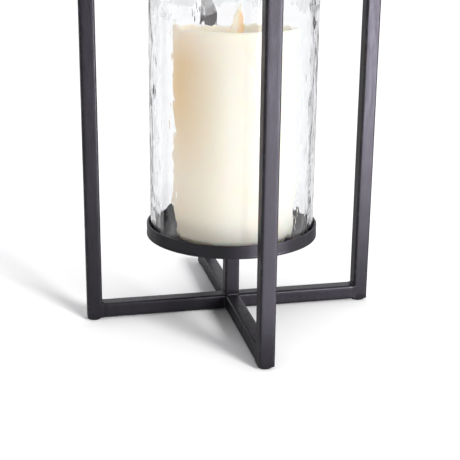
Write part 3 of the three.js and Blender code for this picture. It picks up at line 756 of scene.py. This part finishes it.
def build_wax(wax):
    """The pillar: a cast wall with a melted, wavy lip and a deep well."""
    top, bottom = WAX_HIGH.z, WAX_LOW.z
    floor = top - WELL_DEPTH
    ceiling = floor - WELL_FLOOR_THICKNESS
    profile = np.array([
        (WAX_BORE, bottom), (WAX_RADIUS - 0.6 * MM, bottom), (WAX_RADIUS, bottom + 1 * MM),
        (WAX_RADIUS, top - 2.6 * MM), (WAX_RADIUS - 0.6 * MM, top - 0.7 * MM), (WAX_RADIUS - 2.2 * MM, top),
        (WAX_RADIUS - 4.4 * MM, top - 1.2 * MM), (WELL_RADIUS + 0.8 * MM, top - 5.5 * MM),
        (WELL_RADIUS, floor + 5 * MM), (WELL_RADIUS - 1.4 * MM, floor + 1.7 * MM),
        (WELL_RADIUS - 4.4 * MM, floor), (WELL_HOLE, floor), (WELL_HOLE, ceiling),
        (WAX_BORE - 3.5 * MM, ceiling), (WAX_BORE, ceiling - 3.5 * MM),
    ])
    points, faces = spun(rounded(profile, 1.3 * MM, passes=3), 256)
    angle = np.arctan2(points[..., 1], points[..., 0])
    radius = np.hypot(points[..., 0], points[..., 1])
    height = points[..., 2]
    outside = np.clip((radius - WELL_RADIUS + 1 * MM) / (3 * MM), 0, 1)
    rim = np.clip((height - (top - 26 * MM)) / (26 * MM), 0, 1) ** 2 * (radius > WAX_BORE - 2 * MM)
    ring = np.stack([np.cos(angle), np.sin(angle), np.full_like(angle, 0.3)], -1)
    lip = 1.1 * MM * field(ring, 1.6, seed=4.2) + 0.7 * MM * field(ring, 4.0, seed=9.1)
    swell = np.exp(-((np.angle(np.exp(1j * (angle - math.radians(165))))) / 0.30) ** 2)
    points[..., 2] += rim * (lip - 0.9 * MM + 2.2 * MM * swell)
    sway = 0.35 * MM * field(points, 16, seed=1.7) + 0.12 * MM * field(points, 60, seed=6.3)
    thin = (1 - outside) * rim
    push = outside * (sway - 0.25 * MM) + thin * 0.9 * MM * field(ring, 2.6, seed=2.2)
    points[..., 0] += push * np.cos(angle) + CANDLE_X
    points[..., 1] += push * np.sin(angle)
    add_piece("wax_pillar", points, faces, wax, "candle", ["wax_shell"])


def bezier(start, first, second, end, count):
    """Points along a cubic curve, without its last point."""
    t = np.arange(count)[:, None] / count
    start, first, second, end = (np.array(p, float) for p in (start, first, second, end))
    return (1 - t) ** 3 * start + 3 * (1 - t) ** 2 * t * first + 3 * (1 - t) * t * t * second + t ** 3 * end


def build_flame(plastic):
    """The flat drop, lens-shaped across, with its neck, its tail and the eye for the pivot wire.

    Its outline is in millimetres: X from the pivot, and Z from the floor.
    """
    low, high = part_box("flame")
    thickness = high.y - low.y
    magnet_low, magnet_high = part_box("flame_magnet")
    tail_x = ((magnet_low.x + magnet_high.x) / 2 - PIVOT.x) / MM
    tail, tip, pivot = low.z / MM, high.z / MM, PIVOT.z / MM
    tip_x = 3.6
    right = np.vstack([
        bezier((tail_x + 1.6, tail), (tail_x + 1.6, tail + 4), (1.6, pivot - 8), (1.6, pivot - 4), 12),
        bezier((1.6, pivot - 4), (3.2, pivot - 1), (3.2, pivot + 2), (2.6, pivot + 6), 16),
        bezier((2.6, pivot + 6), (2.8, pivot + 14), (6.6, pivot + 18), (6.4, pivot + 25), 30),
        bezier((6.4, pivot + 25), (6.2, pivot + 31), (3.9, pivot + 34), (tip_x + 0.05, tip), 30),
    ])
    left = np.vstack([
        bezier((tail_x - 1.6, tail), (tail_x - 1.6, tail + 4), (-1.6, pivot - 8), (-1.6, pivot - 4), 12),
        bezier((-1.6, pivot - 4), (-3.2, pivot - 1), (-3.2, pivot + 2), (-2.6, pivot + 6), 16),
        bezier((-2.6, pivot + 6), (-2.8, pivot + 14), (-4.4, pivot + 18), (-4.4, pivot + 23), 30),
        bezier((-4.4, pivot + 23), (-4.2, pivot + 30), (1.6, pivot + 34), (tip_x - 0.05, tip), 30),
    ])
    point = 4
    tapered = tip - point + point * np.sin(np.linspace(0.1, 1.5, 14))
    levels = np.concatenate([np.linspace(tail, tip - point, 84), tapered])
    right_x = np.interp(levels, right[:, 1], right[:, 0])
    left_x = np.interp(levels, left[:, 1], left[:, 0])
    turns = np.arange(FLAME_SIDES) * TAU / FLAME_SIDES
    rows = []
    for level, xl, xr in zip(levels, left_x, right_x):
        half_width = (xr - xl) / 2
        half_thick = min(thickness / 2 / MM, half_width * 0.62)
        x = (xl + xr) / 2 + half_width * np.cos(turns)
        y = half_thick * np.sign(np.sin(turns)) * np.abs(np.sin(turns)) ** 0.8
        rows.append(np.stack([PIVOT.x + x * MM, y * MM, np.full(FLAME_SIDES, level * MM)], -1))
    count = len(rows) * FLAME_SIDES
    faces = grid_faces(len(rows), FLAME_SIDES)
    faces += [list(range(FLAME_SIDES))[::-1], list(range(count - FLAME_SIDES, count))]
    bore_eye(add_piece("flame_drop", rows, faces, plastic, "flame", ["flame"]))


def bore_eye(flame):
    """Cuts the pivot wire's eye through the flame."""
    cutter = bpy.data.meshes.new("eye_cutter")
    shape = bmesh.new()
    turn = Matrix.Translation(PIVOT) @ Matrix.Rotation(math.pi / 2, 4, "X")
    bmesh.ops.create_cone(shape, cap_ends=True, segments=24, radius1=EYE_RADIUS, radius2=EYE_RADIUS,
                          depth=6 * MM, matrix=turn)
    shape.to_mesh(cutter)
    shape.free()
    tool = bpy.data.objects.new("eye_cutter", cutter)
    bpy.context.scene.collection.objects.link(tool)
    cut = flame.modifiers.new("eye", "BOOLEAN")
    cut.operation, cut.object, cut.solver = "DIFFERENCE", tool, "EXACT"
    bpy.context.view_layer.update()
    graph = bpy.context.evaluated_depsgraph_get()
    made = bpy.data.meshes.new_from_object(flame.evaluated_get(graph), depsgraph=graph)
    flame.modifiers.remove(cut)
    flame.data = made
    bpy.data.objects.remove(tool)


def build_collar(plastic):
    """The ring in the bottom of the well that the flame stands through."""
    low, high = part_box("flame_collar")
    flange = (high.x - low.x) / 2
    outer = flange - 2 * MM
    bore = outer - 1.2 * MM
    seat = high.z - 1.25 * MM
    profile = [(bore, low.z), (outer, low.z), (outer, seat), (flange, seat), (flange, high.z - 0.4 * MM),
               (flange - 0.6 * MM, high.z), (bore + 0.6 * MM, high.z), (bore, high.z - 0.6 * MM)]
    points, faces = spun(rounded(profile, 0.15 * MM, passes=3), 96, (CANDLE_X, 0))
    add_piece("flame_ring", points, faces, plastic, "candle", ["flame_collar"])


# ---------------------------------------------------------------- CAD nodes that stay


def finish_nodes():
    """Gives every CAD node that still shows its own procedural material."""
    ivory = moulded("ivory_plastic", (0.72, 0.66, 0.52), (0.80, 0.74, 0.61), 0.46)
    black = moulded("black_plastic", (0.012, 0.012, 0.014), (0.028, 0.028, 0.031), 0.45)
    resin = moulded("warm_led_resin", (0.80, 0.70, 0.48), (0.90, 0.80, 0.58), 0.14, grain=200, depth=0.01,
                    Subsurface_Weight=0.6, Subsurface_Scale=0.003)
    red = moulded("red_lead_sleeve", (0.30, 0.018, 0.014), (0.42, 0.03, 0.022), 0.5)
    dark = moulded("black_lead_sleeve", (0.015, 0.015, 0.016), (0.03, 0.03, 0.032), 0.5)
    steel = metal("plated_steel", (0.52, 0.52, 0.54), (0.70, 0.70, 0.71), 0.28)
    iron = metal("soft_iron_core", (0.32, 0.32, 0.33), (0.46, 0.46, 0.47), 0.38)
    magnet = metal("nickel_magnet", (0.60, 0.58, 0.55), (0.76, 0.74, 0.70), 0.2)
    spring = metal("spring_wire", (0.50, 0.50, 0.52), (0.72, 0.72, 0.73), 0.25, scale=900)
    looks = {
        "base_housing": ivory, "battery_door": ivory, "flame_module_housing": black, "coil_bobbin": black,
        "switch_knob": black, "coil_winding": copper_winding(), "coil_core": iron, "led": resin,
        "module_lead_positive": red, "module_lead_negative": dark, "circuit_board": circuit_board(),
        "board_screw_right": steel, "board_screw_left": steel, "terminal_positive": steel,
        "terminal_negative": steel, "bridge_contact": steel, "switch_body": steel, "flame_magnet": magnet,
        "flame_pivot_wire": steel, "contact_spring_back": spring, "contact_spring_front": spring,
    }
    for name, sign in (("battery_back", 1), ("battery_front", -1)):
        low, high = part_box(name)
        ends = (low.x, high.x) if sign > 0 else (high.x, low.x)
        looks[name] = battery_jacket(f"{name}_jacket", *ends)
    for name, material in looks.items():
        for slot in frame["nodes"][name].material_slots:
            slot.material = material


# ---------------------------------------------------------------- stage, light and camera


def build_floor():
    """A wide plain disc."""
    mesh = bpy.data.meshes.new("floor")
    shape = bmesh.new()
    bmesh.ops.create_circle(shape, cap_ends=True, radius=6.0, segments=96)
    shape.to_mesh(mesh)
    shape.free()
    floor = bpy.data.objects.new("floor", mesh)
    bpy.context.scene.collection.objects.link(floor)
    mesh.materials.append(plain_floor())


def softbox(name, azimuth, distance, bottom, width, height, energy, colour):
    """An upright rectangular lamp. Its azimuth is in degrees to the right of the front."""
    panel = bpy.data.lights.new(name, "AREA")
    panel.shape = "RECTANGLE"
    panel.size, panel.size_y = width, height
    panel.energy = energy
    panel.color = colour
    lamp = bpy.data.objects.new(name, panel)
    bpy.context.scene.collection.objects.link(lamp)
    turn = math.radians(azimuth)
    outward = Vector((math.sin(turn), -math.cos(turn), 0))
    lamp.location = outward * distance + Vector((0, 0, bottom + height / 2))
    lamp.rotation_euler = outward.to_track_quat("Z", "Y").to_euler()
    lamp.visible_camera = False
    return lamp


def gathered(name, *words):
    """The pieces whose name or material holds one of the words, for a lamp that is tied to them."""
    group = bpy.data.collections.new(name)
    for piece in bpy.context.scene.objects:
        if piece.type == "MESH" and any(word in piece.name + piece.active_material.name for word in words):
            group.objects.link(piece)
    return group


def tied(lamp, receivers, blockers=None):
    """Lights only the pieces in one collection, and takes shadows only from those in the other."""
    lamp.light_linking.receiver_collection = receivers
    if blockers is not None:
        lamp.light_linking.blocker_collection = blockers


def build_lamps():
    """A tall softbox at the front right, and helpers that are tied to the paint, the wax or the floor."""
    violet, warm = (1.04, 0.98, 1.18), (1.0, 0.985, 0.96)
    key = softbox("key", azimuth=30, distance=0.95, bottom=0.0, width=0.42, height=0.44, energy=4.25,
                  colour=(1.0, 0.985, 0.975))
    key.visible_glossy = False

    # What the paint mirrors: an upright panel, and one that lies on the floor and faces up.
    painted = gathered("painted_steel", "paint")
    sheen = softbox("sheen", azimuth=34, distance=0.95, bottom=0.0, width=0.62, height=0.34, energy=15.0,
                    colour=violet)
    bounce = softbox("bounce", azimuth=26, distance=0.42, bottom=0.0, width=0.42, height=0.40, energy=1.5,
                     colour=violet)
    bounce.location.z = 0.01
    bounce.rotation_euler = (math.pi, 0, 0)
    for lamp in (sheen, bounce):
        lamp.visible_diffuse = False
        tied(lamp, painted)

    # Soft light on the candle's left and on its foot, which the tray would shade.
    fill = softbox("fill", azimuth=-88, distance=0.60, bottom=0.0, width=0.24, height=0.16, energy=0.46,
                   colour=warm)
    footlight = softbox("footlight", azimuth=-6, distance=0.17, bottom=0.02, width=0.20, height=0.04,
                        energy=0.035, colour=warm)
    for lamp in (fill, footlight):
        lamp.visible_glossy = False
        tied(lamp, gathered("candle_wax", "wax"), gathered("candle_alone", "wax"))

    # The long soft shadows to the left.
    sweep = bpy.data.objects.new("sweep", bpy.data.lights.new("sweep", "SUN"))
    bpy.context.scene.collection.objects.link(sweep)
    sweep.data.energy = 4.6
    sweep.data.angle = 0.28
    turn, rise = math.radians(28), math.radians(24)
    sunward = Vector((math.sin(turn) * math.cos(rise), -math.cos(turn) * math.cos(rise), math.sin(rise)))
    sweep.rotation_euler = sunward.to_track_quat("Z", "Y").to_euler()
    tied(sweep, gathered("white_sweep", "floor"),
         gathered("sticks", "left_leg", "front_leg", "base_cross", "_foot"))


def build_world():
    """A pale room, darkest at the front left, with its own strength for soft light, mirrors and glass."""
    world = bpy.data.worlds.new("studio")
    bpy.context.scene.world = world
    world.use_nodes = True
    tree = world.node_tree
    tree.nodes.clear()

    def node(kind, **settings):
        made = tree.nodes.new("ShaderNode" + kind)
        for name, value in settings.items():
            setattr(made, name, value)
        return made

    direction = node("TexCoord").outputs["Generated"]
    path = node("LightPath").outputs

    def towards(place):
        """How nearly a ray runs towards a place far away: its cosine."""
        made = node("VectorMath", operation="DOT_PRODUCT")
        tree.links.new(direction, made.inputs[0])
        made.inputs[1].default_value = place
        return made.outputs["Value"]

    def background(colour, strength):
        made = node("Background")
        made.inputs["Color"].default_value = (*colour, 1)
        if isinstance(strength, bpy.types.NodeSocket):
            tree.links.new(strength, made.inputs["Strength"])
        else:
            made.inputs["Strength"].default_value = strength
        return made.outputs[0]

    def ramp(value, low, high, to_low, to_high):
        made = node("MapRange", interpolation_type="SMOOTHSTEP")
        tree.links.new(value, made.inputs["Value"])
        ends = {"From Min": low, "From Max": high, "To Min": to_low, "To Max": to_high}
        for socket, end in ends.items():
            made.inputs[socket].default_value = end
        return made.outputs["Result"]

    def choose(ray, otherwise, chosen):
        made = node("MixShader")
        tree.links.new(path[ray], made.inputs[0])
        tree.links.new(otherwise, made.inputs[1])
        tree.links.new(chosen, made.inputs[2])
        return made.outputs[0]

    bright_side = towards((0.46, 0.46, 0.76))
    dark_gap = towards((0.643, 0.766, 0))
    shown = background((0.98, 0.98, 1.0), ramp(bright_side, -0.8, 0.7, 0.22, 1.26))
    mirrored = background((0.98, 0.96, 1.0), ramp(bright_side, -0.5, 0.9, 0.04, 1.1))
    refracted = background((0.95, 0.95, 0.96), ramp(dark_gap, 0.983, 0.993, 1.0, 0.20))
    shown = choose("Is Glossy Ray", shown, mirrored)
    shown = choose("Is Transmission Ray", shown, refracted)
    shown = choose("Is Camera Ray", shown, background((1, 1, 1), 1.1))
    tree.links.new(shown, node("OutputWorld").inputs["Surface"])


CAMERA_LENS = 68.84
CAMERA_SHIFT = -50 / 460
CAMERA_PLACE = Vector((-0.16214, -0.70780, 0.29731))
CAMERA_YAW_PITCH_ROLL = (12.769, 14.011, 0.623)


def build_camera():
    """A 69 mm lens a little above the middle of the candle, to the front left, tilted down."""
    yaw, pitch, roll = (math.radians(a) for a in CAMERA_YAW_PITCH_ROLL)
    ahead = Vector((math.sin(yaw) * math.cos(pitch), math.cos(yaw) * math.cos(pitch), -math.sin(pitch)))
    right = Vector((math.cos(yaw), -math.sin(yaw), 0))
    up = right.cross(ahead)
    tilted_right = right * math.cos(roll) + up * math.sin(roll)
    tilted_up = up * math.cos(roll) - right * math.sin(roll)
    lens = bpy.data.cameras.new("camera")
    lens.lens = CAMERA_LENS
    lens.sensor_width = 36
    lens.shift_y = CAMERA_SHIFT
    camera = bpy.data.objects.new("camera", lens)
    bpy.context.scene.collection.objects.link(camera)
    axes = Matrix((tilted_right, tilted_up, -ahead)).transposed().to_4x4()
    camera.matrix_world = Matrix.Translation(CAMERA_PLACE) @ axes
    bpy.context.scene.camera = camera


# ---------------------------------------------------------------- everything, in order

foot_rubber = moulded("foot_rubber", (0.018, 0.017, 0.018), (0.035, 0.033, 0.035), 0.7)
build_frame(frame_paint(), weld_paint(), foot_rubber)
build_glass(hammered_glass())
build_wax(ivory_wax())
build_flame(flame_plastic())
build_collar(moulded("collar_plastic", (0.74, 0.68, 0.54), (0.82, 0.76, 0.63), 0.42))
finish_nodes()
build_floor()
build_lamps()
build_world()
build_camera()
bpy.context.scene.view_settings.view_transform = "Standard"
bpy.context.scene.view_settings.look = "None"
